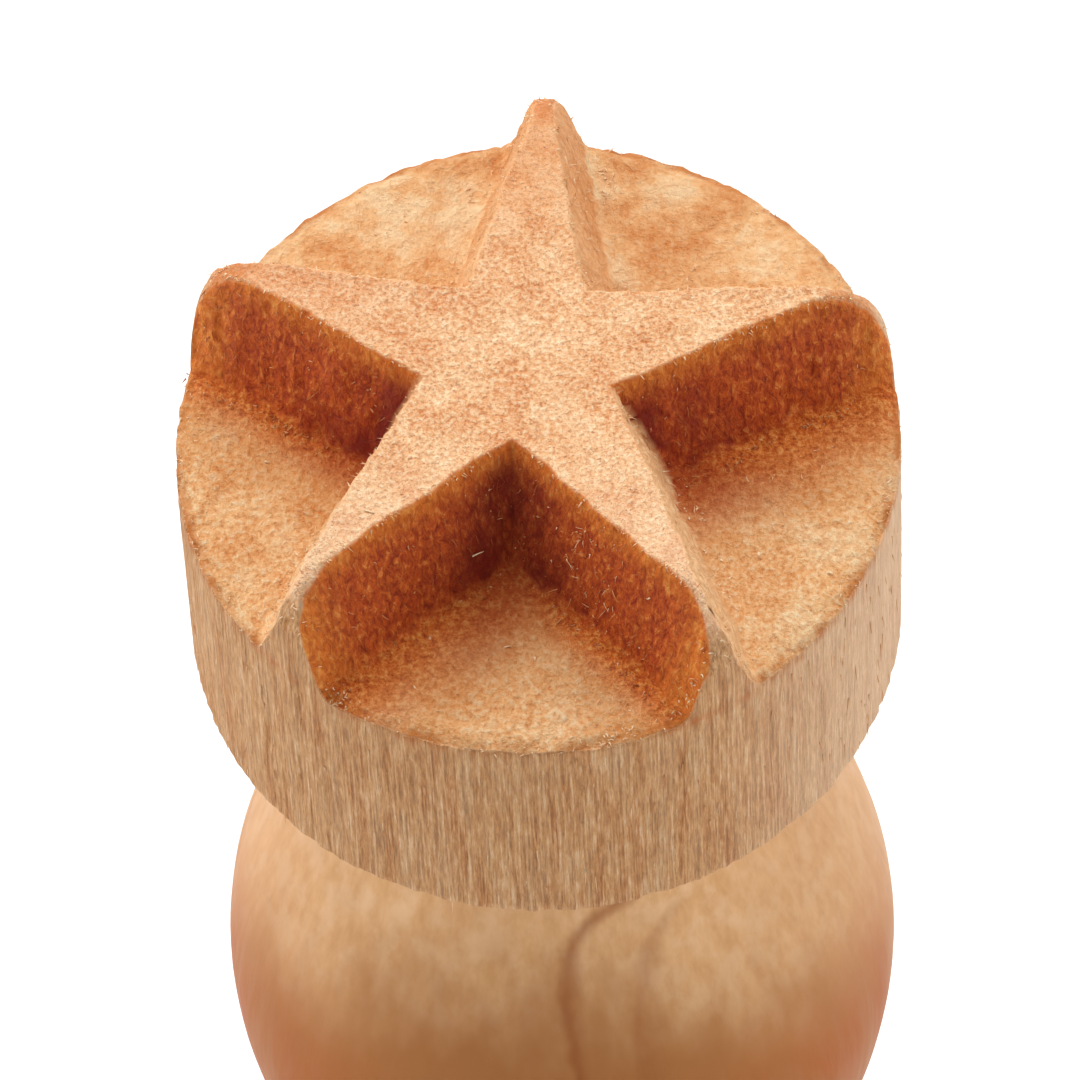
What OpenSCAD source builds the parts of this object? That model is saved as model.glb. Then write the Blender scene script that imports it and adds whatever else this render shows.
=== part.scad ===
// Small wooden hand stamp: a drafted five-point star stands on the end of a turned head,
// and a turned grip is glued into the head by its own round tenon.
// Origin: centre of the grip's flat butt. +Z runs along the axis to the stamping face,
// and one arm of the star points to +Y. Millimetres.

/* [Whole stamp] */
// Height from the butt to the stamping face
total_h = 55; // [50:0.5:65]

/* [Head] */
// Diameter of the head
head_d = 15; // [14.5:0.5:20]
// Height of the head, from its underside to the floor of the recesses
head_h = 6.6; // [5.5:0.1:9]
// Rounding of the head's top edge, where the arms run out to it
top_edge_r = 1.5; // [0.4:0.1:1.6]
// Bevel around the underside of the head
under_bevel = 0.25; // [0.1:0.05:0.5]

/* [Star] */
// Number of arms
arm_count = 5; // [5:1:6]
// Height of the star above the floor of the recesses
relief_h = 2.95; // [1.8:0.05:3.2]
// Distance from the axis to the inner corners, at the stamping face
valley_r = 2; // [1.8:0.1:2.6]
// Distance from the axis to the point where an arm's two edges would meet
point_r = 7; // [6.4:0.1:7.4]
// How far each wall leans out on its way down to the floor
wall_draft = 0.9; // [0.3:0.1:1.2]

/* [Grip] */
// Diameter of the neck under the head
neck_d = 8.4; // [7:0.1:9.4]
// Diameter of the bulb at its widest
bulb_d = 14.8; // [11:0.1:15]
// Distance from the head's underside down to the bulb's widest point
bulb_drop = 12.5; // [10:0.1:14]
// Diameter of the waist
waist_d = 8; // [6.8:0.1:10]
// Distance from the bulb's widest point down to the waist
waist_drop = 14.5; // [12:0.5:16]
// Diameter of the butt at its widest
butt_d = 11.6; // [10:0.1:14]
// Diameter of the flat that the stamp stands on
butt_flat_d = 9; // [6:0.1:9.6]
// Height of the butt's widest point above the flat
butt_rise = 3; // [1.5:0.1:4]

/* [Joint] */
// Diameter of the tenon on top of the grip
tenon_d = 4.8; // [3:0.1:5.4]
// Length of the tenon
tenon_l = 4.4; // [3:0.1:4.6]
// Bevel on the end of the tenon
tenon_bevel = 0.3; // [0.1:0.1:0.5]
// Thickness of the glue line around the tenon
glue_side = 0.05; // [0.03:0.01:0.1]
// Thickness of the glue pocket above the tenon
glue_end = 0.3; // [0.1:0.1:0.5]

/* [Hidden] */
$fn = 96;

floor_z = total_h - relief_h;
under_z = floor_z - head_h;
bulb_z = under_z - bulb_drop;
waist_z = bulb_z - waist_drop;

// The star's edges all pass at edge_r from the axis, so scaling the outline moves them all
// by the same distance, which is what an even draft does.
half_pitch = 180 / arm_count;
edge_dx = point_r - valley_r * cos(half_pitch);
edge_dy = valley_r * sin(half_pitch);
edge_r = point_r * edge_dy / norm([edge_dx, edge_dy]);

// The star's prism starts below the floor, so that it merges with the head.
star_root = 1;
root_spread = 1 + wall_draft * (relief_h + star_root) / relief_h / edge_r;

// Steps along each curved stretch of the grip's outline
curve_steps = 14;

// Outline of the star with its first arm on +Y, enlarged by the given factor
function star_outline(spread) = [
    for (i = [0 : 2 * arm_count - 1])
        let (r = (i % 2 == 0 ? point_r : valley_r) * spread, a = 90 + i * half_pitch)
            [r * cos(a), r * sin(a)]
];

// Half a cosine wave from radius r0 at height z0 to radius r1 at height z1: upright at both
// ends, as a turned bead and hollow are. Its last point is left for the next stretch.
function swell(r0, z0, r1, z1) = [
    for (i = [0 : curve_steps - 1])
        let (t = i / curve_steps)
            [r0 + (r1 - r0) * (1 - cos(180 * t)) / 2, z0 + (z1 - z0) * t]
];

// Quarter of an ellipse from the edge of the flat up to the butt's widest point
function butt_round() = [
    for (i = [0 : curve_steps - 1])
        let (a = 90 * i / curve_steps)
            [butt_flat_d / 2 + (butt_d - butt_flat_d) / 2 * sin(a), butt_rise * (1 - cos(a))]
];

// Half section of the head's round blank, rounded at the top and bevelled underneath
module head_section() {
    r = head_d / 2;
    flat_r = r - top_edge_r;
    round_z = total_h - top_edge_r;
    polygon([[0, under_z], [r - under_bevel, under_z], [r, under_z + under_bevel],
             [r, round_z], [flat_r, round_z], [flat_r, total_h], [0, total_h]]);
    translate([flat_r, round_z]) circle(r = top_edge_r);
}

// Star with walls that lean out towards its foot
module star_prism() {
    translate([0, 0, floor_z - star_root])
        linear_extrude(height = relief_h + star_root, scale = 1 / root_spread)
            polygon(star_outline(root_spread));
}

module stamp_head() {
    color("burlywood")
        difference() {
            intersection() {
                rotate_extrude() head_section();
                union() {
                    translate([0, 0, under_z]) cylinder(h = head_h, d = head_d + 1);
                    star_prism();
                }
            }
            translate([0, 0, under_z - 1])
                cylinder(h = tenon_l + glue_end + 1, d = tenon_d + 2 * glue_side);
        }
}

module grip() {
    outline = concat(
        [[0, 0]],
        butt_round(),
        swell(butt_d / 2, butt_rise, waist_d / 2, waist_z),
        swell(waist_d / 2, waist_z, bulb_d / 2, bulb_z),
        swell(bulb_d / 2, bulb_z, neck_d / 2, under_z),
        [[neck_d / 2, under_z], [tenon_d / 2, under_z],
         [tenon_d / 2, under_z + tenon_l - tenon_bevel],
         [tenon_d / 2 - tenon_bevel, under_z + tenon_l], [0, under_z + tenon_l]]
    );
    color("tan") rotate_extrude() polygon(outline);
}

stamp_head();
grip();
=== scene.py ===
import math

import bmesh
import bpy
import numpy as np
from mathutils import Matrix, Vector


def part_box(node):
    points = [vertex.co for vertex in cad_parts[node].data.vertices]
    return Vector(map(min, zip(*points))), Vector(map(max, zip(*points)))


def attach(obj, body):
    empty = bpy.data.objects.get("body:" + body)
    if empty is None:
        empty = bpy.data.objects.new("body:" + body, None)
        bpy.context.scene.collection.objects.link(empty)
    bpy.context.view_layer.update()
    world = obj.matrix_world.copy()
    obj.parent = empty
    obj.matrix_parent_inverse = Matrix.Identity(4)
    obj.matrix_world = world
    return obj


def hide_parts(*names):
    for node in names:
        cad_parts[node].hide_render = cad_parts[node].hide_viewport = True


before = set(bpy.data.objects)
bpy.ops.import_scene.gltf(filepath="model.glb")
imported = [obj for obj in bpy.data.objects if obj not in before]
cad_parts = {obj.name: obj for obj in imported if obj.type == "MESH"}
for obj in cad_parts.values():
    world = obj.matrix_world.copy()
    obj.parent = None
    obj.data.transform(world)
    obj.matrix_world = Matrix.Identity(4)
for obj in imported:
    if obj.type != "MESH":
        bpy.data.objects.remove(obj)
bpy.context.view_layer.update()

MM = 0.001

# ---------------------------------------------------------------- sizes from the frame
head_low, head_high = (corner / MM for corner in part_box("stamp_head"))
grip_low, grip_high = (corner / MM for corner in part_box("grip"))
HEAD_R = (head_high.x - head_low.x) / 2
FACE_Z = head_high.z
UNDER_Z = head_low.z
BULB_R = (grip_high.x - grip_low.x) / 2
TENON_TOP_Z = grip_high.z

# ---------------------------------------------------------------- sizes repeated from the CAD
ARMS = 5
RELIEF = 2.95
VALLEY_R = 2.0
POINT_R = 7.0
DRAFT = 0.9
UNDER_BEVEL = 0.25
NECK_R = 4.2
BULB_DROP = 12.5
WAIST_R = 4.0
WAIST_DROP = 14.5
BUTT_R = 5.8
BUTT_FLAT_R = 4.5
BUTT_RISE = 3.0
TENON_R = 2.4
TENON_BEVEL = 0.3
SOCKET_R = 2.45
# Room above the tenon
SOCKET_GAP = 0.3

FLOOR_Z = FACE_Z - RELIEF
SOCKET_TOP_Z = TENON_TOP_Z + SOCKET_GAP
BULB_Z = UNDER_Z - BULB_DROP
WAIST_Z = BULB_Z - WAIST_DROP

# The star sits a little off the head's centre, as hand-placed work does.
STAR_OFFSET = np.array([-0.30, 0.10])
# Rounding of the head's top edge at the end of each arm, counter-clockwise from +Y
ARM_END_ROUND = (1.9, 1.8, 1.8, 1.8, 2.2)
# The floors were cut a little out of level: rise for each millimetre along X and Y
FLOOR_RISE = (0.010, 0.025)

HALF_PITCH = math.pi / ARMS
EDGE_SLANT = math.atan2(
    VALLEY_R * math.sin(HALF_PITCH), POINT_R - VALLEY_R * math.cos(HALF_PITCH)
)
# Distance from the star's centre to the line of each top edge
EDGE_R = POINT_R * math.sin(EDGE_SLANT)
# Direction square to a top edge, measured from its arm's middle line
EDGE_NORMAL = math.pi / 2 - EDGE_SLANT

# ---------------------------------------------------------------- wear of the head
# Depth, size and noise seed of the fine and the broad tears in the star's edges
EDGE_TEARS = ((0.045, 0.18, 81), (0.05, 0.9, 91))
# Rounding of the star's edges, and how much more there is toward the rim, over this reach
EDGE_ROUND = 0.13
ARM_END_EXTRA = 0.55
ARM_END_REACH = 1.8
# Rounding where the walls meet the floors, and where the star meets the blank's edge
FOOT_ROUND = 0.4
BLANK_ROUND = 0.4
# How far the rim is worn down, and over what width
WORN_DEPTH = 0.18
WORN_WIDTH = 0.45
# Margin for telling one surface from the next
MARGIN = 0.01

# ---------------------------------------------------------------- noise and small helpers
# Factors and shifts that turn a cell's place into a number that looks random
HASH_FACTORS = np.array([374761393, 668265263, 2246822519], np.uint64)
HASH_SEED = 3266489917
HASH_SCRAMBLE = np.uint64(2654435761)
HASH_SHIFTS = (np.uint64(15), np.uint64(13))
HASH_TOP = np.uint64(0xFFFFFF)


def value_noise(points, seed):
    """Smooth noise from -1 to 1, one value for each row of points."""
    cell = np.floor(points).astype(np.int64)
    part = points - cell
    part = part * part * (3 - 2 * part)
    total = np.zeros(len(points))
    for corner in np.ndindex(2, 2, 2):
        place = (cell + corner).astype(np.uint64)
        code = (place * HASH_FACTORS).sum(axis=1) + np.uint64(seed * HASH_SEED)
        code = (code ^ (code >> HASH_SHIFTS[0])) * HASH_SCRAMBLE
        code = (code ^ (code >> HASH_SHIFTS[1])) & HASH_TOP
        weight = np.prod(np.where(corner, part, 1 - part), axis=1)
        total += weight * (code / HASH_TOP * 2 - 1)
    return total


def grain(points, size, seed, octaves=2):
    """Noise whose lumps have the given size in millimetres along X, Y and Z."""
    total = np.zeros(len(points))
    for octave in range(octaves):
        total += value_noise(points / np.array(size) * 2**octave, seed + octave) / 2**octave
    return total


def smooth_step(low, high, x):
    """0 at low and 1 at high, with soft ends. Low may be the larger of the two."""
    t = np.clip((x - low) / (high - low), 0, 1)
    return t * t * (3 - 2 * t)


def soft_max(a, b, k):
    """The larger of a and b, with the corner between them rounded over about k."""
    t = np.clip(0.5 + 0.5 * (a - b) / k, 0, 1)
    return b + (a - b) * t + k * t * (1 - t)


def soft_min(a, b, k):
    """The smaller of a and b, rounded in the same way."""
    return -soft_max(-a, -b, k)


def polar(points):
    """Radius and angle of each point about the part's axis."""
    return np.hypot(points[:, 0], points[:, 1]), np.arctan2(points[:, 1], points[:, 0])


# ---------------------------------------------------------------- the shape of the head's top
def arm_angles(points):
    """For each point: its radius and angle from the star's centre, which arm is nearest, and
    its angle from that arm's middle line."""
    radius, angle = polar(points[:, :2] - STAR_OFFSET)
    arm = np.round((angle - math.pi / 2) / (2 * HALF_PITCH))
    return radius, angle, arm, angle - math.pi / 2 - arm * 2 * HALF_PITCH


def edge_distance(points):
    """How far each point lies outside the star's nearest top edge line, seen from above."""
    radius, _, _, from_arm = arm_angles(points)
    return radius * np.cos(np.abs(from_arm) - EDGE_NORMAL) - EDGE_R


def ragged_distance(points):
    """The distance from the star's edge, with the edge torn as cut wood is."""
    plan = np.column_stack([points[:, :2], np.zeros(len(points))])
    tear = np.zeros(len(points))
    for depth, size, seed in EDGE_TEARS:
        tear += depth * grain(plan, (size, size, 1), seed, octaves=1)
    return edge_distance(points) + tear


def wall_direction(arm, side):
    """The angle that a wall faces. Side is 1 for the counter-clockwise wall of the arm and
    -1 for the other."""
    return math.pi / 2 + arm * 2 * HALF_PITCH + side * EDGE_NORMAL


def faces_front(wall_angle):
    """1 for walls that face the front, which the cutter burnt, down to 0 for the others."""
    return smooth_step(-0.1, 0.6, -np.sin(wall_angle))


def burnt_share(points):
    """How burnt the wall nearest to each point is."""
    _, _, arm, from_arm = arm_angles(points)
    return faces_front(wall_direction(arm, np.where(from_arm > 0, 1, -1)))


def scorch_shadow_share(points, width, turned, start):
    """How browned the floor is beside the burnt walls, by scorch and painted shadow: fully up to
    start from a wall's foot, and not at all past the width. Turned is added to the width for a
    wall that faces right, and taken off for one that faces left, as painted shadow from a key
    light on the left."""
    radius, angle, arm, from_arm = arm_angles(points)
    side = np.where(from_arm > 0, 1, -1)
    total = np.zeros(len(points))
    for which_arm, which_side in ((arm, side), (arm + side, -side)):
        wall_angle = wall_direction(which_arm, which_side)
        away = radius * np.cos(angle - wall_angle) - EDGE_R - DRAFT
        reach = width + turned * np.cos(wall_angle)
        total = np.maximum(total, faces_front(wall_angle) * smooth_step(reach, start, away))
    return total


def corner_distance(points):
    """How far each point is from the middle line of its recess, measured along the arc."""
    radius, _, _, from_arm = arm_angles(points)
    return radius * (HALF_PITCH - np.abs(from_arm))


def floor_level(points):
    """Height of the recess floors."""
    return FLOOR_Z + FLOOR_RISE[0] * points[:, 0] + FLOOR_RISE[1] * points[:, 1]


def star_height(points):
    """Height of the star, its walls and the recess floor."""
    wall = FACE_Z - RELIEF * ragged_distance(points) / DRAFT
    outer = smooth_step(HEAD_R - ARM_END_REACH, HEAD_R, polar(points)[0])
    ridge = EDGE_ROUND + ARM_END_EXTRA * outer
    return soft_max(soft_min(wall, FACE_Z, ridge), floor_level(points), FOOT_ROUND)


def blank_height(points):
    """Height of the round blank's top, which is rounded over at its edge."""
    radius, angle = polar(points)
    turn = (angle - math.pi / 2) / (2 * HALF_PITCH) % ARMS
    arm = np.floor(turn).astype(int) % ARMS
    rounds = np.array(ARM_END_ROUND)
    # The rounding changes from one arm's value to the next halfway between them.
    part = smooth_step(0.25, 0.75, turn % 1)
    edge = rounds[arm] * (1 - part) + rounds[(arm + 1) % ARMS] * part
    # Rounding keeps points on the rim at one height, where the edge is upright.
    into = np.clip((np.round(radius, 5) - HEAD_R + edge) / edge, 0, 1)
    return FACE_Z - edge * (1 - np.sqrt(1 - into**2))


# ---------------------------------------------------------------- meshes
def make_piece(name, points, faces, material):
    """A mesh object from points in millimetres."""
    mesh = bpy.data.meshes.new(name)
    mesh.from_pydata((np.asarray(points) * MM).tolist(), [], faces)
    mesh.validate()
    piece = bpy.data.objects.new(name, mesh)
    bpy.context.scene.collection.objects.link(piece)
    mesh.materials.append(material)
    mesh.shade_smooth()
    return piece


def read_points(mesh):
    flat = np.empty(len(mesh.vertices) * 3)
    mesh.vertices.foreach_get("co", flat)
    return flat.reshape(-1, 3) / MM


def write_points(mesh, points):
    mesh.vertices.foreach_set("co", (points * MM).ravel())
    mesh.update()


def read_normals(mesh):
    flat = np.empty(len(mesh.vertices) * 3)
    mesh.vertex_normals.foreach_get("vector", flat)
    return flat.reshape(-1, 3)


def store(mesh, name, values):
    """Keeps one number for each vertex, for the material to read."""
    layer = mesh.attributes.new(name, "FLOAT", "POINT")
    layer.data.foreach_set("value", np.asarray(values, dtype=np.float32))


TOP_ROWS = 14
WALL_ROWS = 46
FLOOR_ROWS = 38
SECTOR_COLUMNS = 54
SIDE_ROWS = 40
# The top rows crowd toward the star's edges, and the columns toward the arm's middle line.
TOP_CROWDING = 1.6
COLUMN_CROWDING = 1.5
# The fine rows of the walls start and end this far outside the wall itself.
ROW_MARGIN = 0.12
# More rows that end on the arm's middle line at these distances inside the rim, where the
# rounded edge is steepest
TIP_GAPS = np.array([0.085, 0.045, 0.018])
# The star's offset stays nearly whole until close to the rim, where it falls to nothing.
SHIFT_POWER = 10
# Points closer together than this are one point.
SEAM_GAP = 0.0005
RIM_GAP = 0.0001


def half_arm_grid():
    """Rows parallel to a star edge, over the wedge from an arm's middle line (angle 0) to the
    middle line of the next recess. Returns rows x columns x 2, and which rows end on the rim."""
    last = HEAD_R * math.cos(EDGE_NORMAL - HALF_PITCH)
    rim_row = HEAD_R * math.sin(EDGE_SLANT)
    wall_start = EDGE_R - ROW_MARGIN
    wall_end = EDGE_R + DRAFT + ROW_MARGIN
    top = wall_start * (1 - (1 - np.arange(TOP_ROWS) / TOP_ROWS) ** TOP_CROWDING)
    wall = np.linspace(wall_start, wall_end, WALL_ROWS, endpoint=False)
    wall[np.argmin(np.abs(wall - rim_row))] = rim_row
    wall = np.sort(np.append(wall, (HEAD_R - TIP_GAPS) * math.sin(EDGE_SLANT)))
    floor = np.linspace(wall_end, last, FLOOR_ROWS + 1)
    rows = np.concatenate([top, wall, floor])
    step = 1 - (1 - np.linspace(0, 1, SECTOR_COLUMNS)) ** COLUMN_CROWDING
    on_rim = rows >= rim_row
    reach = EDGE_NORMAL - np.arccos(np.clip(rows / HEAD_R, -1, 1))
    end_r = np.where(on_rim, HEAD_R, rows / math.sin(EDGE_SLANT))
    end_a = np.where(on_rim, reach, 0)
    ends = np.stack([end_r * np.cos(end_a), end_r * np.sin(end_a)], axis=1)
    start_r = rows / math.cos(EDGE_NORMAL - HALF_PITCH)
    starts = start_r[:, None] * np.array([math.cos(HALF_PITCH), math.sin(HALF_PITCH)])
    grid = starts[:, None] + (ends - starts)[:, None] * step[None, :, None]
    return grid, on_rim


def head_surface():
    """Points and faces of the whole head before its roughness. The patches of the top meet
    point for point, for merge_seams to join."""
    grid, on_rim = half_arm_grid()
    rows, columns = grid.shape[:2]
    index = np.arange(rows * columns).reshape(rows, columns)
    quads = np.stack(
        [index[:-1, :-1], index[:-1, 1:], index[1:, 1:], index[1:, :-1]], axis=-1
    ).reshape(-1, 4)
    points, faces, rim_points = [], [], []
    for half in range(2 * ARMS):
        turn = math.pi / 2 + (half // 2) * 2 * HALF_PITCH
        mirror = 1 if half % 2 == 0 else -1
        local = grid * [1, mirror]
        c, s = math.cos(turn), math.sin(turn)
        flat = local.reshape(-1, 2) @ np.array([[c, s], [-s, c]])
        faces += (quads[:, ::-mirror] + len(points) * rows * columns).tolist()
        points.append(flat)
        rim_points.append(flat.reshape(rows, columns, 2)[on_rim, -1])
    plan = np.concatenate(points)
    rim = np.unique(np.round(np.concatenate(rim_points), 7), axis=0)
    rim = rim[np.argsort(np.arctan2(rim[:, 1], rim[:, 0]))]
    distinct = np.linalg.norm(rim - np.roll(rim, 1, axis=0), axis=1) > RIM_GAP
    rim = rim[distinct]

    # The star's centre is moved within the round rim, most in the middle and not at the rim.
    def shifted(flat):
        radius = np.hypot(flat[:, 0], flat[:, 1])
        return flat + STAR_OFFSET * (1 - (radius / HEAD_R) ** SHIFT_POWER)[:, None]

    plan = shifted(plan)
    top = np.column_stack([plan, top_height(plan)])

    rim_z = top_height(rim)
    low_z = UNDER_Z + UNDER_BEVEL
    rings = []
    for down in np.linspace(0, 1, SIDE_ROWS + 1):
        rings.append(np.column_stack([rim, rim_z + (low_z - rim_z) * down]))
    # Bevel, underside with two rings between its edges, and the socket's side and end
    inner = [
        (HEAD_R - UNDER_BEVEL, UNDER_Z),
        (HEAD_R - 1.4, UNDER_Z),
        (NECK_R + 1, UNDER_Z),
        (SOCKET_R, UNDER_Z),
        (SOCKET_R, (UNDER_Z + SOCKET_TOP_Z) / 2),
        (SOCKET_R, SOCKET_TOP_Z),
        (SOCKET_R / 2, SOCKET_TOP_Z),
        (0, SOCKET_TOP_Z),
    ]
    for ring_r, ring_z in inner:
        rings.append(np.column_stack([rim * ring_r / HEAD_R, np.full(len(rim), ring_z)]))
    ring_index = len(top) + np.arange(len(rings) * len(rim)).reshape(len(rings), -1)
    near, far = ring_index[:-1], ring_index[1:]
    side = np.stack([near, far, np.roll(far, -1, axis=1), np.roll(near, -1, axis=1)], -1)
    return np.concatenate([top, *rings]), faces + side.reshape(-1, 4).tolist()


def top_height(plan):
    """Height of the head's top at points seen from above."""
    radius = polar(plan)[0]
    worn = WORN_DEPTH * np.clip((radius - HEAD_R + WORN_WIDTH) / WORN_WIDTH, 0, 1) ** 2
    return soft_min(star_height(plan), blank_height(plan), BLANK_ROUND) - worn


def merge_seams(piece):
    """Joins the points that neighbouring patches share."""
    bm = bmesh.new()
    bm.from_mesh(piece.data)
    bmesh.ops.remove_doubles(bm, verts=bm.verts, dist=SEAM_GAP * MM)
    bmesh.ops.dissolve_degenerate(bm, edges=bm.edges, dist=RIM_GAP * MM)
    bmesh.ops.recalc_face_normals(bm, faces=bm.faces)
    bm.to_mesh(piece.data)
    bm.free()


def cut_distance(points):
    """How far each point lies outside the ridge where the walls cut the blank. At the rounded
    end of an arm the ridge is lower down, so it is further out."""
    return ragged_distance(points) - (FACE_Z - blank_height(points)) * DRAFT / RELIEF


def zones(points):
    """How much each point belongs to the walls, to the walls and floors together, and to the
    side with the steep ends of the arms."""
    radius = polar(points)[0]
    side = smooth_step(HEAD_R - 0.03, HEAD_R - 0.005, radius)
    side = side * (points[:, 2] < FACE_Z - 0.4) * (points[:, 2] > UNDER_Z + MARGIN)
    in_socket = (radius < SOCKET_R + MARGIN) & (points[:, 2] < SOCKET_TOP_Z + MARGIN)
    under = (points[:, 2] < UNDER_Z + MARGIN) | in_socket
    inside = (1 - side) * (1 - under)
    past_edge = smooth_step(-0.03, 0.06, cut_distance(points))
    foot = DRAFT * (FACE_Z - floor_level(points)) / RELIEF
    foot += 0.08 * grain(points, (0.15, 0.15, 0.15), seed=101)
    past_wall = smooth_step(-0.1, 0.06, ragged_distance(points) - foot)
    # The side's grain runs up onto the steep ends of the arms.
    steep = smooth_step(HEAD_R - 0.45, HEAD_R - 0.1, radius) * (1 - past_edge) * inside
    return {
        "wall": past_edge * (1 - past_wall) * inside,
        "floor": past_edge * inside,
        "side": side + steep,
    }


def roughen_head(mesh):
    """Moves the head's points by the grain, torn fibre and lumps of each zone. Returns the
    points as they were, and their zones."""
    points = read_points(mesh)
    normals = read_normals(mesh)
    zone = zones(points)
    face = (1 - zone["floor"] - zone["side"]) * (points[:, 2] > FLOOR_Z)
    floor = zone["floor"] - zone["wall"]
    radius, angle = polar(points)
    outward = np.column_stack([np.cos(angle), np.sin(angle), np.zeros(len(points))])

    streaks = grain(points, (0.17, 0.17, 1.3), seed=11, octaves=3)
    ripple = grain(points, (0.7, 0.7, 2.5), seed=21)
    crumbs = grain(points, (0.19, 0.19, 0.19), seed=31)
    lumps = grain(points, (0.9, 0.9, 0.9), seed=41)
    long_streaks = grain(points, (0.2, 0.2, 4.0), seed=55)
    tears = np.clip(grain(points, (0.16, 0.16, 2.2), seed=51) - 0.45, 0, 1)

    # The ridges stay whole: little is moved close to them.
    calmer = 1 - 0.9 * np.exp(-((cut_distance(points) / 0.16) ** 2))
    push = zone["wall"] * (0.025 * streaks + 0.05 * ripple + 0.02 * crumbs)
    push += face * (0.012 * crumbs + 0.02 * lumps - 0.02)
    push += floor * (0.036 * crumbs + 0.06 * lumps + 0.01 * streaks)
    moved = points + normals * (push * calmer)[:, None]

    # Side grain: shallow ridges along the axis, with torn grooves between them.
    across = 0.022 * long_streaks + 0.008 * streaks + 0.02 * ripple - 0.07 * tears
    across = across * np.where(points[:, 2] > FLOOR_Z, calmer, 1)
    moved += outward * (zone["side"] * across)[:, None]

    # The lower edge is ragged, and so is the rim where the floors run out.
    nick = grain(points, (0.25, 0.25, 9.0), seed=61, octaves=3)
    near_under = smooth_step(UNDER_Z + 0.7, UNDER_Z + 0.2, points[:, 2]) * zone["side"]
    near_rim = smooth_step(HEAD_R - 0.4, HEAD_R, radius) * (points[:, 2] > FLOOR_Z - 1)
    moved[:, 2] += 0.05 * nick * (near_under + near_rim)
    moved[:, 2] = np.minimum(moved[:, 2], FACE_Z)
    write_points(mesh, moved)
    return points, zone


CREASE_ANGLE = 50


def build_head(material):
    """The head's mesh, with all that its material reads stored at each vertex."""
    points, faces = head_surface()
    head = make_piece("stamp_head_wood", points, faces, material)
    merge_seams(head)
    head.data.shade_smooth()
    base, zone = roughen_head(head.data)
    # Steep creases are shaded as creases, so that they show fewer dark specks.
    head.data.set_sharp_from_angle(angle=math.radians(CREASE_ANGLE))
    for name, values in zone.items():
        store(head.data, name, values)
    # 0 at the star's face, 1 at the floors, more on the side below them
    store(head.data, "depth", np.clip((FACE_Z - base[:, 2]) / RELIEF, 0, 4))
    # Scorch and painted shadow on the floors beside the burnt walls, wider beside walls that face
    # right
    store(head.data, "foot_scorch_and_shadow", scorch_shadow_share(base, width=1.6, turned=0.9, start=0.0))
    store(head.data, "wide_scorch_and_shadow", scorch_shadow_share(base, width=3.0, turned=0.8, start=0.5))
    store(head.data, "burnt", burnt_share(base))
    store(head.data, "corner", corner_distance(base))
    radius, angle = polar(base)
    store(head.data, "radius", radius)
    # Ends of the arms that point away from the front, for a painted glow of light through the wood
    back_end_glow = smooth_step(HEAD_R - 1.5, HEAD_R - 0.9, radius) * (base[:, 2] > FLOOR_Z)
    store(head.data, "back_end_glow", back_end_glow * smooth_step(-0.1, 0.2, np.sin(angle)))
    # The browned band along the rim: on the floors, and on the side just below them
    above = base[:, 2] - floor_level(base)
    on_side = np.exp(-(((above + 0.22) / 0.15) ** 2))
    on_floor = smooth_step(HEAD_R - 0.25, HEAD_R - 0.05, radius) * (above < 0.2)
    store(head.data, "rim", np.where(zone["side"] > 0.5, on_side, on_floor))
    # The back of the top is smoother and more even than the front.
    store(head.data, "calm", smooth_step(1.0, 6.0, base[:, 1]))
    # The wood is redder toward the left arm.
    toward_left_arm = np.array([-0.8, 0.6, 0.0])
    store(head.data, "ruddy", smooth_step(1.0, 5.5, base @ toward_left_arm))
    return head


# ---------------------------------------------------------------- loose fibres
def star_edge_points(random, count, outside):
    """Random points beside the star's edges, at the given distances outside them, and the
    direction that the wall below each point faces."""
    along = random.random(count) ** 0.8
    valley = VALLEY_R * np.array([math.cos(HALF_PITCH), math.sin(HALF_PITCH)])
    tip = np.array([POINT_R, 0.0])
    flat = valley + along[:, None] * (tip - valley)
    normal = np.array([math.sin(EDGE_SLANT), math.cos(EDGE_SLANT)])
    flat = flat + normal * np.broadcast_to(outside, count)[:, None]
    mirror = random.choice([-1, 1], count)
    flat[:, 1] *= mirror
    way = np.column_stack([np.full(count, normal[0]), normal[1] * mirror])
    turn = math.pi / 2 + random.integers(0, ARMS, count) * 2 * HALF_PITCH
    c, s = np.cos(turn), np.sin(turn)

    def turned(v):
        return np.column_stack([v[:, 0] * c - v[:, 1] * s, v[:, 0] * s + v[:, 1] * c])

    return turned(flat) + STAR_OFFSET, turned(way)


def on_top(plan, lift):
    """Puts points on the head's top surface, raised by lift."""
    return np.column_stack([plan, top_height(plan) + lift])


def scatter(random, count, amount):
    """Small random turns, to be added to directions."""
    return random.normal(0, amount, (count, 3))


def fibre_group(random, points, ways, length, width, tone, bend):
    """Fibres that start at the points and run along the ways, each with its own bend. Width
    is half the thickness, and tone runs from 0, pale, to 1, brown."""
    count = len(points)
    return {
        "start": points,
        "way": ways / np.linalg.norm(ways, axis=1)[:, None],
        "sag": scatter(random, count, bend),
        "length": length * (0.4 + 0.6 * random.random(count) ** 2),
        "width": width * (0.6 + 0.8 * random.random(count)),
        "tone": np.clip(tone + random.normal(0, 0.15, count), 0, 1),
    }


FIBRE_STEPS = 4
FIBRE_SIDES = 3


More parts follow.
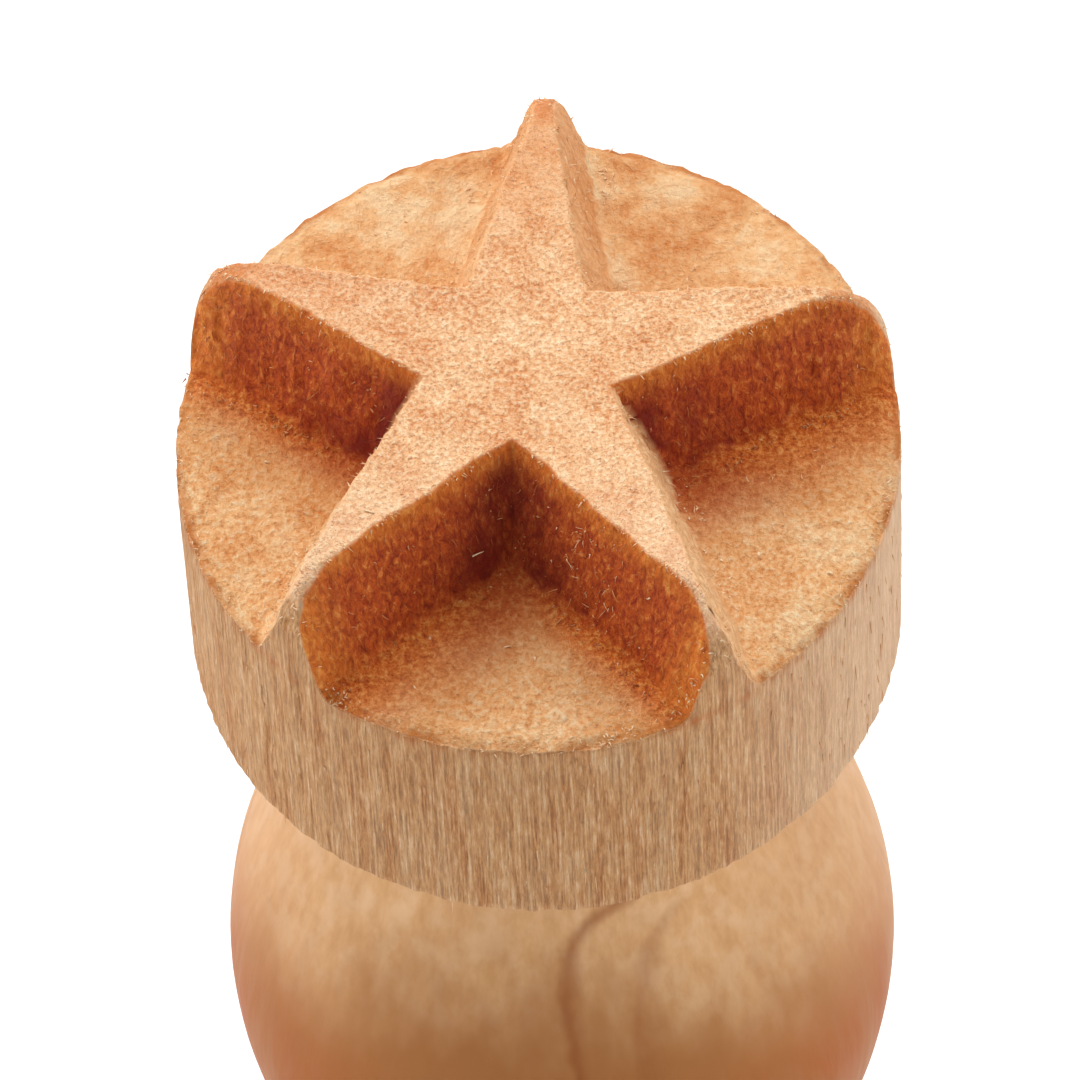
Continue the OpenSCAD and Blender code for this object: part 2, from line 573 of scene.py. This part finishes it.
def fibre_mesh(groups):
    """Points, faces and tones of thin three-sided tubes that taper to a tip."""
    data = {key: np.concatenate([g[key] for g in groups]) for key in groups[0]}
    count = len(data["start"])
    t = np.arange(FIBRE_STEPS) / FIBRE_STEPS
    run = data["way"][:, None] * t[:, None] + data["sag"][:, None] * (t**2)[:, None]
    middle = data["start"][:, None] + run * data["length"][:, None, None]
    tip = data["start"] + (data["way"] + data["sag"]) * data["length"][:, None]
    first = np.cross(data["way"], [0.31, 0.52, 0.79])
    first /= np.linalg.norm(first, axis=1)[:, None]
    second = np.cross(data["way"], first)
    corner = np.arange(FIBRE_SIDES) * 2 * math.pi / FIBRE_SIDES
    ring = first[:, None] * np.cos(corner)[:, None] + second[:, None] * np.sin(corner)[:, None]
    half_width = data["width"][:, None] * (1 - 0.75 * t)
    tube = middle[:, :, None] + ring[:, None] * half_width[:, :, None, None]
    points = np.concatenate([tube.reshape(count, -1, 3), tip[:, None]], axis=1)
    per = points.shape[1]
    pattern = []
    last = FIBRE_SIDES * (FIBRE_STEPS - 1)
    for low in range(0, last, FIBRE_SIDES):
        high = low + FIBRE_SIDES
        for a in range(FIBRE_SIDES):
            b = (a + 1) % FIBRE_SIDES
            pattern.append((low + a, low + b, high + b, high + a))
    ends = [(last + a, last + (a + 1) % FIBRE_SIDES, per - 1) for a in range(FIBRE_SIDES)]
    ends.append(tuple(reversed(range(FIBRE_SIDES))))
    faces = []
    for n in range(count):
        faces += [tuple(n * per + v for v in face) for face in pattern + ends]
    return points.reshape(-1, 3), faces, np.repeat(data["tone"], per)


def edge_fringe(random):
    """Fringe along the star's edges."""
    count = 1100
    plan, way = star_edge_points(random, count, random.normal(0.0, 0.025, count))
    ways = np.column_stack([way, -0.3 + 0.3 * random.random(count)])
    ways = ways + scatter(random, count, 0.7)
    start = on_top(plan, -0.02)
    return fibre_group(random, start, ways, length=0.10, width=0.02, tone=0.2, bend=0.4)


def wall_fibres(random):
    """Fibres on the walls, pale on the pale walls and brown on the burnt ones."""
    count = 900
    plan, way = star_edge_points(random, count, DRAFT * (0.06 + 0.9 * random.random(count)))
    ways = np.column_stack([way, np.full(count, -1.0)]) + scatter(random, count, 0.7)
    tone = 0.25 + 0.55 * burnt_share(plan)
    start = on_top(plan, 0.0)
    return fibre_group(random, start, ways, length=0.22, width=0.013, tone=tone, bend=0.4)


def foot_crumbs(random):
    """Crumbs and fuzz where the walls meet the floors."""
    count = 900
    plan, way = star_edge_points(random, count, DRAFT + 0.08 + 0.3 * random.random(count) ** 2)
    ways = np.column_stack([way, np.full(count, 0.3)]) + scatter(random, count, 0.9)
    tone = 0.1 + 0.5 * burnt_share(plan)
    start = on_top(plan, -0.01)
    return fibre_group(random, start, ways, length=0.13, width=0.022, tone=tone, bend=0.4)


# Middle of the patch of curls, seen from above, and its radius
CURL_SPOT = np.array([1.6, -4.0])
CURL_REACH = 0.95


def wall_curls(random):
    """Pale curls that hang on the front-right arm's burnt wall."""
    count = 4000
    plan, way = star_edge_points(random, count, DRAFT * (0.15 + 0.8 * random.random(count)))
    near = np.hypot(*(plan - CURL_SPOT).T) < CURL_REACH * np.sqrt(random.random(count))
    plan, way = plan[near], way[near]
    ways = np.column_stack([way, random.normal(0, 0.6, len(plan))])
    ways = ways + scatter(random, len(plan), 0.8)
    start = on_top(plan, 0.0)
    return fibre_group(random, start, ways, length=0.17, width=0.014, tone=0.3, bend=0.9)


def lying_fuzz(random):
    """Fuzz that lies on the face and the floors."""
    count = 1500
    turn = random.random(count) * 2 * math.pi
    radius = (HEAD_R - 0.15) * np.sqrt(random.random(count))
    plan = np.column_stack([radius * np.cos(turn), radius * np.sin(turn)])
    ways = scatter(random, count, 1.0) * [1, 1, 0.12]
    start = on_top(plan, -0.03)
    return fibre_group(random, start, ways, length=0.13, width=0.016, tone=0.3, bend=0.3)


def splinters(random):
    """A few larger splinters, most of them near the front."""
    count = 26
    turn = -math.pi / 2 + random.normal(0, 1.1, count)
    radius = HEAD_R * (0.45 + 0.5 * random.random(count))
    plan = np.column_stack([radius * np.cos(turn), radius * np.sin(turn)])
    ways = scatter(random, count, 1.0) * [1, 1, 0.3]
    start = on_top(plan, 0.0)
    return fibre_group(random, start, ways, length=0.22, width=0.028, tone=0.1, bend=0.3)


def rim_tufts(random):
    """Tufts on the rim, more of them at the front."""
    count = 700
    turn = np.where(
        random.random(count) < 0.3,
        random.random(count) * 2 * math.pi,
        -math.pi / 2 + random.normal(0, 0.9, count),
    )
    edge = HEAD_R - 0.3 * random.random(count)
    plan = np.column_stack([edge * np.cos(turn), edge * np.sin(turn)])
    ways = np.column_stack([np.cos(turn), np.sin(turn), np.full(count, 0.4)])
    ways = ways * [0.4, 0.4, 1] + scatter(random, count, 0.7)
    start = on_top(plan, -0.03)
    return fibre_group(random, start, ways, length=0.13, width=0.02, tone=0.15, bend=0.4)


def side_fibres(random):
    """Long fibres lifted from the side."""
    count = 900
    turn = random.random(count) * 2 * math.pi
    outward = np.column_stack([np.cos(turn), np.sin(turn), np.zeros(count)])
    height = UNDER_Z + 0.3 + random.random(count) * (FLOOR_Z - UNDER_Z - 0.5)
    start = outward * (HEAD_R - 0.01)
    start[:, 2] = height
    ways = outward * 0.04 + [0, 0, -1] + scatter(random, count, 0.04)
    return fibre_group(random, start, ways, length=0.7, width=0.013, tone=0.3, bend=0.02)


FIBRE_SEED = 7
# The groups draw from one random source, so their order matters.
FIBRE_GROUPS = (
    edge_fringe,
    wall_fibres,
    foot_crumbs,
    wall_curls,
    lying_fuzz,
    splinters,
    rim_tufts,
    side_fibres,
)


def build_fibres(material):
    """Loose fibres that the cutter and the saw left on the head."""
    random = np.random.default_rng(FIBRE_SEED)
    points, faces, tones = fibre_mesh([group(random) for group in FIBRE_GROUPS])
    points[:, 2] = np.minimum(points[:, 2], FACE_Z)
    fibres = make_piece("loose_fibres", points, faces, material)
    store(fibres.data, "tone", tones)
    return fibres


# ---------------------------------------------------------------- grip
BUTT_STEPS = 12
FLAT_STEPS = 9
LOWER_STEPS = 40
UPPER_STEPS = 60
GRIP_COLUMNS = 200
# Depth of the slight waves that sanding leaves
GRIP_WAVE = 0.012


def swell(r0, z0, r1, z1, steps):
    """Half a cosine wave between two radii, upright at both ends."""
    t = np.arange(steps) / steps
    return np.column_stack([r0 + (r1 - r0) * (1 - np.cos(math.pi * t)) / 2, z0 + (z1 - z0) * t])


def grip_outline():
    """Radius and height along the grip, from the middle of the butt to the top of the tenon."""
    flat_r = np.linspace(0, BUTT_FLAT_R, FLAT_STEPS, endpoint=False)
    flat = np.column_stack([flat_r, np.zeros(FLAT_STEPS)])
    turn = np.linspace(0, math.pi / 2, BUTT_STEPS, endpoint=False)
    butt = np.column_stack(
        [
            BUTT_FLAT_R + (BUTT_R - BUTT_FLAT_R) * np.sin(turn),
            BUTT_RISE * (1 - np.cos(turn)),
        ]
    )
    tenon = [
        (NECK_R, UNDER_Z),
        (TENON_R, UNDER_Z),
        (TENON_R, TENON_TOP_Z - TENON_BEVEL),
        (TENON_R - TENON_BEVEL, TENON_TOP_Z),
        (0, TENON_TOP_Z),
    ]
    return np.concatenate(
        [
            flat,
            butt,
            swell(BUTT_R, BUTT_RISE, WAIST_R, WAIST_Z, LOWER_STEPS),
            swell(WAIST_R, WAIST_Z, BULB_R, BULB_Z, UPPER_STEPS),
            swell(BULB_R, BULB_Z, NECK_R, UNDER_Z, UPPER_STEPS),
            tenon,
        ]
    )


def build_grip(material):
    """The outline turned about the axis, with slight waves wherever the grip shows."""
    outline = grip_outline()
    angle = np.arange(GRIP_COLUMNS) * 2 * math.pi / GRIP_COLUMNS
    radius, height = outline[:, :1], outline[:, 1:]
    rings = np.stack(
        [
            radius * np.cos(angle),
            radius * np.sin(angle),
            np.broadcast_to(height, (len(outline), GRIP_COLUMNS)),
        ],
        axis=-1,
    )
    index = np.arange(rings.shape[0] * GRIP_COLUMNS).reshape(-1, GRIP_COLUMNS)
    low, high = index[:-1], index[1:]
    quads = np.stack([low, np.roll(low, -1, 1), np.roll(high, -1, 1), high], -1).reshape(-1, 4)
    grip = make_piece("grip_wood", rings.reshape(-1, 3), quads.tolist(), material)
    merge_seams(grip)
    points = read_points(grip.data)
    outward = read_normals(grip.data)
    above_flat = smooth_step(0.05, 0.6, points[:, 2])
    below_head = smooth_step(UNDER_Z, UNDER_Z - 0.2, points[:, 2])
    wave = GRIP_WAVE * grain(points, (1.1, 1.1, 5.0), seed=71, octaves=3) - GRIP_WAVE
    write_points(grip.data, points + outward * (above_flat * below_head * wave)[:, None])
    grip.data.shade_smooth()
    return grip


# ---------------------------------------------------------------- materials
class Nodes:
    """Short calls for building a node tree."""

    def __init__(self, name):
        self.material = bpy.data.materials.new(name)
        self.material.use_nodes = True
        self.tree = self.material.node_tree
        self.shader = self.tree.nodes["Principled BSDF"]

    def add(self, kind, **settings):
        node = self.tree.nodes.new(kind)
        for key, value in settings.items():
            setattr(node, key, value)
        return node

    def link(self, source, socket):
        """Joins a node's output to the socket, or sets the socket to a constant."""
        if isinstance(source, (int, float, tuple)):
            socket.default_value = source
        else:
            self.tree.links.new(source, socket)

    def math(self, operation, a, b=0.0):
        node = self.add("ShaderNodeMath", operation=operation)
        self.link(a, node.inputs[0])
        self.link(b, node.inputs[1])
        return node.outputs[0]

    def span(self, value, low, high, to_low=0.0, to_high=1.0):
        """Maps low..high onto to_low..to_high with soft ends."""
        node = self.add("ShaderNodeMapRange", interpolation_type="SMOOTHSTEP")
        for socket, source in zip(node.inputs, (value, low, high, to_low, to_high)):
            self.link(source, socket)
        return node.outputs[0]

    def mix(self, share, a, b):
        """Colour between a and b."""
        node = self.add("ShaderNodeMix", data_type="RGBA")
        self.link(share, node.inputs["Factor"])
        self.link(a, node.inputs[6])
        self.link(b, node.inputs[7])
        return node.outputs[2]

    def place_along(self, axis):
        """Millimetres along one axis of the frame."""
        where = self.add("ShaderNodeTexCoord").outputs["Object"]
        apart = self.add("ShaderNodeSeparateXYZ")
        self.link(where, apart.inputs[0])
        return self.math("MULTIPLY", apart.outputs[axis], 1 / MM)

    def blend(self, share, a, b):
        """Number between a and b."""
        node = self.add("ShaderNodeMix", data_type="FLOAT")
        for socket, source in zip(node.inputs[:1] + node.inputs[2:4], (share, a, b)):
            self.link(source, socket)
        return node.outputs[0]

    def attribute(self, name):
        return self.add("ShaderNodeAttribute", attribute_name=name).outputs["Fac"]

    def place(self, size):
        """Object coordinates, divided by a size in millimetres along X, Y and Z."""
        where = self.add("ShaderNodeTexCoord").outputs["Object"]
        node = self.add("ShaderNodeMapping")
        self.link(where, node.inputs["Vector"])
        node.inputs["Scale"].default_value = [1 / (MM * s) for s in size]
        return node.outputs[0]

    def noise(self, size, detail=2.0, rough=0.5, twist=0.0):
        """Noise from 0 to 1 whose lumps have the given size in millimetres."""
        node = self.add("ShaderNodeTexNoise")
        self.link(self.place(size), node.inputs["Vector"])
        node.inputs["Scale"].default_value = 1.0
        node.inputs["Detail"].default_value = detail
        node.inputs["Roughness"].default_value = rough
        node.inputs["Distortion"].default_value = twist
        return node.outputs[0]

    def ramp(self, value, *stops):
        """Colour read off a scale of (position, colour) stops."""
        node = self.add("ShaderNodeValToRGB")
        self.link(value, node.inputs[0])
        points = node.color_ramp.elements
        while len(points) < len(stops):
            points.new(0.5)
        for point, (position, colour) in zip(points, stops):
            point.position = position
            point.color = colour
        return node.outputs[0]

    def bump(self, height, distance):
        """Bumped normal, where a height of 1 stands for the distance in millimetres."""
        node = self.add("ShaderNodeBump")
        node.inputs["Strength"].default_value = 1.0
        node.inputs["Distance"].default_value = distance * MM
        self.link(height, node.inputs["Height"])
        return node.outputs[0]


def srgb(red, green, blue):
    """A colour given as 0..255 display values."""
    linear = [
        c / 12.92 if c <= 0.04045 else ((c + 0.055) / 1.055) ** 2.4
        for c in (red / 255, green / 255, blue / 255)
    ]
    return (*linear, 1.0)


# The growth sheets face the front right and a little up.
GROWTH_DIRECTION = (0.596, -0.803, 0.33)
# Distance along the direction, half width and strength of each growth line
GROWTH_LINES = (
    (18.02, 0.15, 0.6),
    (18.57, 0.12, 0.3),
    (7.2, 0.12, 0.4),
    (5.6, 0.10, 0.3),
    (3.6, 0.12, 0.4),
)


def growth_lines(n):
    """Thin dark lines where a year's growth ends: near-flat sheets through the wood, which
    bend outward toward the neck. They fade out on the right of the grip."""
    where = n.add("ShaderNodeTexCoord").outputs["Object"]
    dot = n.add("ShaderNodeVectorMath", operation="DOT_PRODUCT")
    n.link(where, dot.inputs[0])
    dot.inputs[1].default_value = [c / MM for c in GROWTH_DIRECTION]
    sway = n.math("MULTIPLY", n.noise((1.6, 1.6, 3.0), 3.0), 0.5)
    bend = n.span(n.place_along("Z"), BULB_Z + 7.2, BULB_Z + 9.6, 0.25, 0.85)
    along = n.math("ADD", dot.outputs["Value"], n.math("SUBTRACT", sway, bend))
    shown = n.span(n.place_along("X"), 2.6, 3.4, 1.0, 0.0)
    total = 0.0
    for place, width, strength in GROWTH_LINES:
        from_line = n.math("ABSOLUTE", n.math("SUBTRACT", along, place))
        total = n.math("ADD", n.span(from_line, 0.0, width, strength, 0.0), total)
    return n.math("MULTIPLY", total, shown)


def end_grain(n, calm, ruddy):
    """Stippled end grain: height and colour of the star's face."""
    stipple = n.noise((0.11, 0.11, 0.11), 3.0, 0.75)
    patch = n.noise((1.0, 1.0, 1.0), 3.0, 0.6)
    base = n.ramp(
        stipple,
        (0.30, srgb(166, 90, 48)),
        (0.41, srgb(214, 144, 92)),
        (0.52, srgb(241, 191, 143)),
        (0.65, srgb(255, 236, 196)),
    )
    blush = n.ramp(
        patch,
        (0.34, srgb(212, 128, 70)),
        (0.50, srgb(236, 178, 126)),
        (0.66, srgb(252, 212, 168)),
    )
    base = n.mix(n.span(calm, 0.0, 1.0, 0.42, 0.62), base, blush)
    base = n.mix(n.span(calm, 0.0, 1.0, 0.0, 0.25), base, srgb(222, 146, 84))
    base = n.mix(n.math("MULTIPLY", ruddy, 0.3), base, srgb(212, 120, 66))
    paler = n.span(n.place_along("Y"), -1.5, -5.0, 0.0, 0.3)
    base = n.mix(paler, base, srgb(252, 218, 182))
    speck = n.noise((0.06, 0.06, 0.06), 2.0, 0.6)
    base = n.mix(n.span(speck, 0.58, 0.72, 0.0, 0.6), base, srgb(164, 94, 72))
    return stipple, base


def floor_grain(n, foot_scorch_and_shadow, wide_scorch_and_shadow, corner, rim, calm):
    """Rougher end grain of the floors, browned beside the burnt walls by scorch and painted
    shadow, with painted shade toward the inner corners.
    """
    stipple = n.noise((0.13, 0.13, 0.13), 4.0, 0.75)
    base = n.ramp(
        stipple,
        (0.28, srgb(164, 80, 32)),
        (0.39, srgb(220, 142, 78)),
        (0.51, srgb(245, 190, 130)),
        (0.64, srgb(255, 234, 192)),
    )
    patch = n.noise((1.2, 1.2, 1.2), 4.0, 0.6)
    blotch = n.ramp(
        patch,
        (0.36, srgb(255, 222, 176)),
        (0.50, srgb(246, 188, 130)),
        (0.64, srgb(222, 142, 78)),
    )
    base = n.mix(n.span(calm, 0.0, 1.0, 0.4, 0.75), base, blotch)
    browned = n.ramp(
        stipple,
        (0.34, srgb(172, 64, 16)),
        (0.50, srgb(222, 112, 36)),
        (0.66, srgb(252, 172, 88)),
    )
    base = n.mix(n.math("MULTIPLY", wide_scorch_and_shadow, 0.5), base, srgb(214, 132, 56))
    base = n.mix(foot_scorch_and_shadow, base, browned)
    # Painted shade: darker red-brown toward the inner corners of the recesses
    corner_shade = n.math("MULTIPLY", foot_scorch_and_shadow, n.span(corner, 0.0, 1.6, 0.6, 0.0))
    base = n.mix(corner_shade, base, srgb(156, 50, 18))
    uneven = n.span(n.noise((0.8, 0.8, 0.8)), 0.4, 0.62, 0.15, 0.8)
    return stipple, n.mix(n.math("MULTIPLY", rim, uneven), base, srgb(200, 112, 38))


def wall_grain(n, depth, corner, burnt, radius, calm):
    """Walls: streaked and burnt brown, with painted shade toward the inner corners and a painted
    glow at the lip and the outer end for light through the thin wood, or pale where they
    aren't burnt."""
    streak = n.noise((0.13, 0.13, 0.3), 4.0, 0.75, 0.5)
    scorched = n.ramp(
        streak,
        (0.25, srgb(108, 24, 8)),
        (0.43, srgb(174, 66, 22)),
        (0.57, srgb(208, 96, 32)),
        (0.76, srgb(244, 166, 84)),
    )
    # Painted shade: darker red toward the inner corners and lower down the walls
    corner_shade = n.span(n.math("ADD", corner, n.math("MULTIPLY", depth, -0.9)), -0.6, 1.5, 1.0, 0.0)
    patch = n.span(n.noise((0.9, 0.9, 1.4), 2.0), 0.35, 0.65, 0.35, 0.95)
    scorched = n.mix(n.math("MULTIPLY", corner_shade, patch), scorched, srgb(122, 24, 14))
    # Painted glow at the lip and the outer end, for light through the thin wood
    lip = n.span(depth, 0.03, 0.32, 1.0, 0.0)
    outer = n.span(radius, HEAD_R - 1.3, HEAD_R - 0.2)
    painted_glow = n.math("MAXIMUM", lip, outer)
    orange = n.ramp(
        streak,
        (0.25, srgb(188, 80, 22)),
        (0.50, srgb(232, 128, 42)),
        (0.75, srgb(252, 184, 92)),
    )
    scorched = n.mix(n.math("MULTIPLY", painted_glow, 0.8), scorched, orange)
    pale = n.ramp(
        streak,
        (0.25, srgb(204, 136, 84)),
        (0.50, srgb(236, 182, 128)),
        (0.75, srgb(255, 222, 176)),
    )
    pale = n.mix(n.math("MULTIPLY", calm, 0.6), pale, srgb(220, 142, 76))
    return streak, n.mix(burnt, pale, scorched)


def side_grain(n, rim):
    """Head's side: long fine streaks along the axis in cream, grey-beige and brown, with a
    painted highlight toward the right.
    """
    fine = n.noise((0.055, 0.055, 2.4), 4.0, 0.75)
    dash = n.noise((0.07, 0.07, 0.5), 3.0, 0.7)
    broad = n.noise((0.35, 0.35, 4.0), 3.0, 0.6)
    both = n.math("ADD", n.math("MULTIPLY", fine, 0.6), n.math("MULTIPLY", dash, 0.4))
    base = n.ramp(
        both,
        (0.37, srgb(104, 50, 16)),
        (0.46, srgb(184, 122, 66)),
        (0.53, srgb(220, 162, 106)),
        (0.63, srgb(255, 226, 184)),
    )
    tint = n.ramp(
        broad,
        (0.36, srgb(188, 112, 48)),
        (0.50, srgb(218, 162, 106)),
        (0.64, srgb(214, 170, 124)),
    )
    base = n.mix(0.4, base, tint)
    # Painted highlight: paler toward the right, where the fibres catch the light at a low angle
    base = n.mix(n.span(n.place_along("X"), 3.5, 7.4, 0.0, 0.45), base, srgb(248, 216, 184))
    uneven = n.span(n.noise((0.8, 0.8, 0.8)), 0.4, 0.62, 0.15, 0.9)
    broken = n.math("MULTIPLY", n.math("MULTIPLY", rim, uneven), n.span(both, 0.6, 0.42, 0.4, 1.0))
    return both, n.mix(broken, base, srgb(196, 104, 32))


def wood_head():
    """The head's material: each zone's grain, laid over the star's face in turn."""
    n = Nodes("head_wood")
    wall, floor, side = n.attribute("wall"), n.attribute("floor"), n.attribute("side")
    depth, foot_scorch_and_shadow, wide_scorch_and_shadow = n.attribute("depth"), n.attribute("foot_scorch_and_shadow"), n.attribute("wide_scorch_and_shadow")
    burnt, corner = n.attribute("burnt"), n.attribute("corner")
    radius, rim, back_end_glow = n.attribute("radius"), n.attribute("rim"), n.attribute("back_end_glow")
    calm, ruddy = n.attribute("calm"), n.attribute("ruddy")

    face_height, colour = end_grain(n, calm, ruddy)
    # Painted glow: the back ends of the arms are more orange
    colour = n.mix(n.math("MULTIPLY", back_end_glow, 0.6), colour, srgb(206, 120, 58))
    floor_height, floor_colour = floor_grain(n, foot_scorch_and_shadow, wide_scorch_and_shadow, corner, rim, calm)
    wall_height, wall_colour = wall_grain(n, depth, corner, burnt, radius, calm)
    side_height, side_colour = side_grain(n, rim)

    colour = n.mix(floor, colour, floor_colour)
    colour = n.mix(wall, colour, wall_colour)
    colour = n.mix(side, colour, side_colour)
    n.link(colour, n.shader.inputs["Base Color"])
    n.link(n.span(face_height, 0.3, 0.7, 0.9, 0.6), n.shader.inputs["Roughness"])
    n.shader.inputs["Specular IOR Level"].default_value = 0.3
    # Torn fibres on the side catch the light at a low angle.
    n.link(n.math("MULTIPLY", side, 0.25), n.shader.inputs["Sheen Weight"])
    n.shader.inputs["Sheen Roughness"].default_value = 0.5
    n.shader.inputs["Sheen Tint"].default_value = srgb(255, 214, 172)

    height = n.blend(floor, face_height, n.math("MULTIPLY", floor_height, 1.3))
    height = n.blend(wall, height, wall_height)
    height = n.blend(side, height, side_height)
    n.link(n.bump(height, 0.12), n.shader.inputs["Normal"])
    return n.material


def wood_fibre():
    """Loose fibres, cream to orange-brown by their tone."""
    n = Nodes("fibre_wood")
    tint = n.noise((0.4, 0.4, 0.4), 2.0)
    tone = n.math("ADD", n.attribute("tone"), n.math("MULTIPLY", tint, 0.3))
    colour = n.ramp(
        tone,
        (0.15, srgb(252, 226, 186)),
        (0.50, srgb(228, 170, 116)),
        (0.95, srgb(182, 98, 50)),
    )
    n.link(colour, n.shader.inputs["Base Color"])
    n.shader.inputs["Roughness"].default_value = 0.7
    n.shader.inputs["Specular IOR Level"].default_value = 0.3
    n.link(n.bump(n.noise((0.02, 0.02, 0.1), 2.0), 0.01), n.shader.inputs["Normal"])
    return n.material


def wood_grip():
    """Smooth sanded wood with a soft grain, painted shade on the sides and the lower bulb, and a
    few growth lines.
    """
    n = Nodes("grip_wood")
    fine = n.noise((0.3, 0.3, 2.6), 3.0, 0.6)
    broad = n.noise((1.8, 1.8, 5.0), 3.0, 0.55)
    mottle = n.noise((0.6, 0.6, 0.8), 3.0, 0.55)
    colour = n.ramp(
        fine,
        (0.3, srgb(212, 162, 108)),
        (0.5, srgb(222, 173, 121)),
        (0.7, srgb(230, 185, 135)),
    )
    colour = n.mix(n.span(mottle, 0.42, 0.68, 0.0, 0.5), colour, srgb(236, 198, 156))
    # Painted shade: a little darker toward the left and the right
    beside = n.math("ABSOLUTE", n.place_along("X"))
    colour = n.mix(n.span(beside, 2.5, 6.5, 0.0, 0.4), colour, srgb(186, 132, 88))
    # Painted shade: the wood darkens toward the lower front of the bulb, and is paler again below
    # it.
    height = n.place_along("Z")
    fade = n.span(height, BULB_Z - 9.0, BULB_Z - 1.0, 0.15, 1.0)
    slanted = n.math("ADD", height, n.math("MULTIPLY", n.place_along("Y"), 1.2))
    slanted = n.math("ADD", slanted, n.math("MULTIPLY", n.span(broad, 0.3, 0.7), 2.4))
    bulb_shade = n.span(slanted, BULB_Z + 4.2, BULB_Z - 2.6, 0.0, 1.0)
    colour = n.mix(n.math("MULTIPLY", bulb_shade, fade), colour, srgb(170, 110, 58))
    # More painted shade, orange-brown, on the lower front of the bulb.
    front = n.span(n.place_along("Y"), 3.0, -2.0)
    low = n.math("MULTIPLY", n.span(height, BULB_Z + 5.0, BULB_Z), fade)
    low = n.math("MULTIPLY", low, front)
    share = n.math("MULTIPLY", n.span(broad, 0.36, 0.58, 0.45, 1.0), low)
    colour = n.mix(share, colour, srgb(170, 90, 26))
    colour = n.mix(growth_lines(n), colour, srgb(146, 76, 26))
    n.link(colour, n.shader.inputs["Base Color"])
    n.link(n.span(fine, 0.3, 0.7, 0.48, 0.56), n.shader.inputs["Roughness"])
    n.shader.inputs["Specular IOR Level"].default_value = 0.14
    n.link(n.bump(fine, 0.012), n.shader.inputs["Normal"])
    return n.material


def pale_floor():
    n = Nodes("studio_floor")
    n.shader.inputs["Base Color"].default_value = (0.97, 0.97, 0.97, 1)
    n.shader.inputs["Roughness"].default_value = 0.9
    n.shader.inputs["Specular IOR Level"].default_value = 0.0
    return n.material


# ---------------------------------------------------------------- studio
FLOOR_REACH = 4000


def build_floor():
    """A wide pale plane that the butt stands on."""
    reach = FLOOR_REACH
    corners = [(-reach, -reach, 0), (reach, -reach, 0), (reach, reach, 0), (-reach, reach, 0)]
    floor = make_piece("studio_floor", np.array(corners, float), [(0, 1, 2, 3)], pale_floor())


def direction(azimuth, elevation):
    """Unit vector from the object to a viewer in front (-Y), turned to +X by azimuth."""
    a, e = math.radians(azimuth), math.radians(elevation)
    return Vector((math.sin(a) * math.cos(e), -math.cos(a) * math.cos(e), math.sin(e)))


def soft_light(name, azimuth, elevation, distance, width, power):
    """A square area light that faces the head, placed by angles like the camera."""
    light = bpy.data.lights.new(name, "AREA")
    light.shape = "SQUARE"
    light.size = width * MM
    light.energy = power
    lamp = bpy.data.objects.new(name, light)
    aim = Vector((0, 0, FACE_Z * MM))
    back = direction(azimuth, elevation)
    lamp.location = aim + back * distance * MM
    lamp.rotation_euler = back.to_track_quat("Z", "Y").to_euler()
    bpy.context.scene.collection.objects.link(lamp)


SKY_STRENGTH = 0.475
# Angles in degrees, lengths in millimetres, power in watts
SOFT_LIGHTS = {
    "back_softbox": dict(azimuth=-157, elevation=60, distance=900, width=700, power=6.4),
    "left_softbox": dict(azimuth=-105, elevation=30, distance=800, width=500, power=2.45),
    "right_softbox": dict(azimuth=105, elevation=30, distance=800, width=500, power=2.3),
}


def build_lights():
    """An even white sky with a soft key light from behind and one from each side."""
    world = bpy.data.worlds.new("studio")
    world.use_nodes = True
    background = world.node_tree.nodes["Background"]
    background.inputs["Color"].default_value = (1, 1, 1, 1)
    background.inputs["Strength"].default_value = SKY_STRENGTH
    bpy.context.scene.world = world
    for name, settings in SOFT_LIGHTS.items():
        soft_light(name, **settings)
    bpy.context.scene.view_settings.view_transform = "Standard"


# The camera's angles in degrees, and its distance from the middle of the star's face
VIEW_AZIMUTH = 6.6
VIEW_ELEVATION = 55.0
VIEW_ROLL = -2.9
VIEW_DISTANCE = 200.0
# Focal length on Blender's standard 36 mm sensor
VIEW_LENS = 326.7
# Where the camera aims, seen from the centre of the star's face: across and up the picture
AIM_ACROSS = 0.13
AIM_UP = -3.73


def build_camera():
    """A long lens from above and in front, tipped a little to one side."""
    back = direction(VIEW_AZIMUTH, VIEW_ELEVATION)
    face = Vector((0, 0, FACE_Z))
    place = face + back * VIEW_DISTANCE

    def tipped(back):
        across = Vector((0, 0, 1)).cross(back).normalized()
        up = back.cross(across)
        c, s = math.cos(math.radians(VIEW_ROLL)), math.sin(math.radians(VIEW_ROLL))
        return across * c + up * s, up * c - across * s

    across, up = tipped(back)
    aim = face + across * AIM_ACROSS + up * AIM_UP
    back = (place - aim).normalized()
    across, up = tipped(back)
    data = bpy.data.cameras.new("camera")
    data.lens = VIEW_LENS
    data.clip_start = 10 * MM
    camera = bpy.data.objects.new("camera", data)
    turn = Matrix((across, up, back)).transposed().to_4x4()
    camera.matrix_world = Matrix.Translation(place * MM) @ turn
    bpy.context.scene.collection.objects.link(camera)
    bpy.context.scene.camera = camera


# ---------------------------------------------------------------- the scene
build_camera()
build_lights()
build_floor()

head = build_head(wood_head())
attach(head, "root")
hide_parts("stamp_head")

fibres = build_fibres(wood_fibre())
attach(fibres, "root")

grip = build_grip(wood_grip())
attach(grip, "root")
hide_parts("grip")
